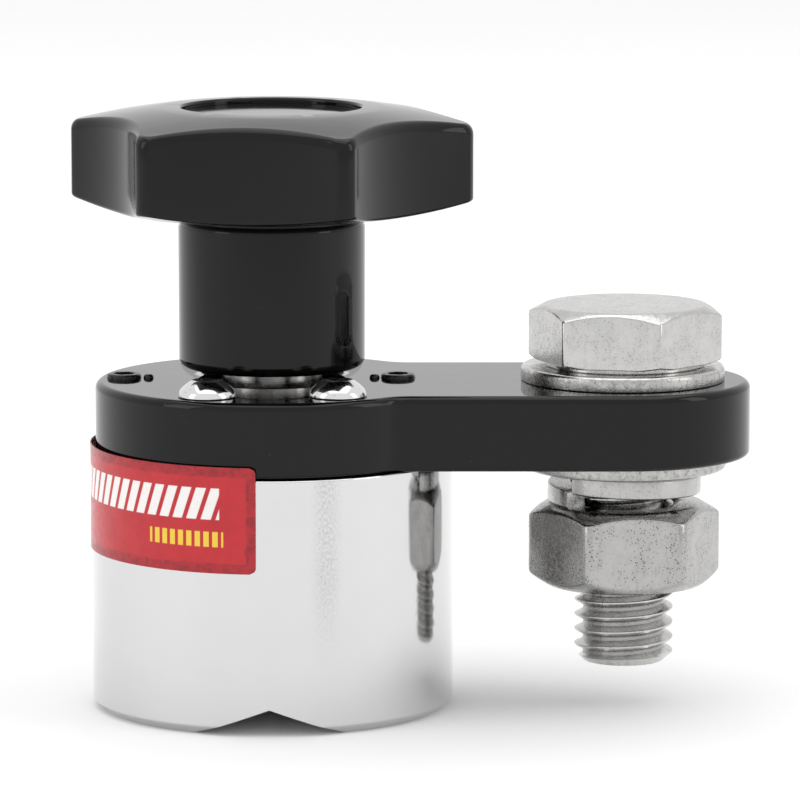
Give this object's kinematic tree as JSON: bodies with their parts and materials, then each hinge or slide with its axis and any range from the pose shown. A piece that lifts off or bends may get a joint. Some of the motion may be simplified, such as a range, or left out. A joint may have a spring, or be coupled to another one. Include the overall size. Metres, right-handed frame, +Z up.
{
  "type": "magnetic ground clamp",
  "caption": "Switchable magnetic welding ground clamp: round magnet housing with a V-groove foot, coated arm plate with a lug bolt, and a star knob that turns the magnet on and off.",
  "frame": {"origin": "at the foot, z = 0 on the two pole faces, under the middle of the overall length and width", "axes": "+Z up along the knob's axis, +X towards the arm and its bolt, -Y the front with the label"},
  "size_m": [0.068, 0.0376, 0.0603],
  "materials": {
    "chrome": "mirror polish with fine machining marks",
    "stainless": "bright rolled stainless, lightly scuffed",
    "steel": "turned steel",
    "black_coat": "gloss black coating",
    "black_plastic": "gloss moulded plastic",
    "black_oxide": "black oxide",
    "magnet_nickel": "nickel plated",
    "brass": "rolled",
    "rubber": "matt",
    "label_red": "printed film"
  },
  "bodies": {
    "base": {"magnet_housing": "chrome", "fixed_magnet": "magnet_nickel", "magnet_spacer": "brass", "stop_pin": "steel", "thrust_washer": "brass", "shaft_bush": "brass", "shaft_seal": "rubber", "arm_plate": "black_coat", "plate_screw_1": "chrome", "plate_screw_2": "chrome", "plate_screw_3": "chrome", "plate_screw_4": "chrome", "grub_screw_left": "black_oxide", "grub_screw_right": "black_oxide", "witness_pin_left": "black_oxide", "witness_pin_right": "black_oxide", "hex_bolt": "stainless", "upper_washer": "stainless", "rating_label": "label_red"},
    "rotor": {"rotating_magnet": "magnet_nickel", "rotor_carrier": "steel", "drive_shaft": "steel", "drive_pin": "steel", "knob_head": "black_plastic", "knob_stem": "black_plastic", "knob_insert": "steel", "knob_screw": "steel", "knob_cap": "black_plastic"},
    "washers": {"lower_washer": "stainless", "spring_washer": "stainless"},
    "nut": {"hex_nut": "stainless"}
  },
  "joints": [
    {"name": "knob_turn", "type": "hinge", "parent": "base", "child": "rotor", "pos_m": [-0.0141, 0, 0.0329], "axis": [0, 0, -1], "range_deg": [0, 180]},
    {"name": "nut_travel", "type": "slide", "parent": "base", "child": "washers", "axis": [0, 0, -1], "range_m": [0, 0.0075]},
    {"name": "nut_spin", "type": "hinge", "parent": "washers", "child": "nut", "pos_m": [0.0212, 0, 0.01635], "axis": [0, 0, -1], "range_deg": [0, 1800]}
  ],
  "couplings": [
    {"joint": "nut_spin", "follows": "nut_travel", "rad_per_m": 4188.8}
  ]
}
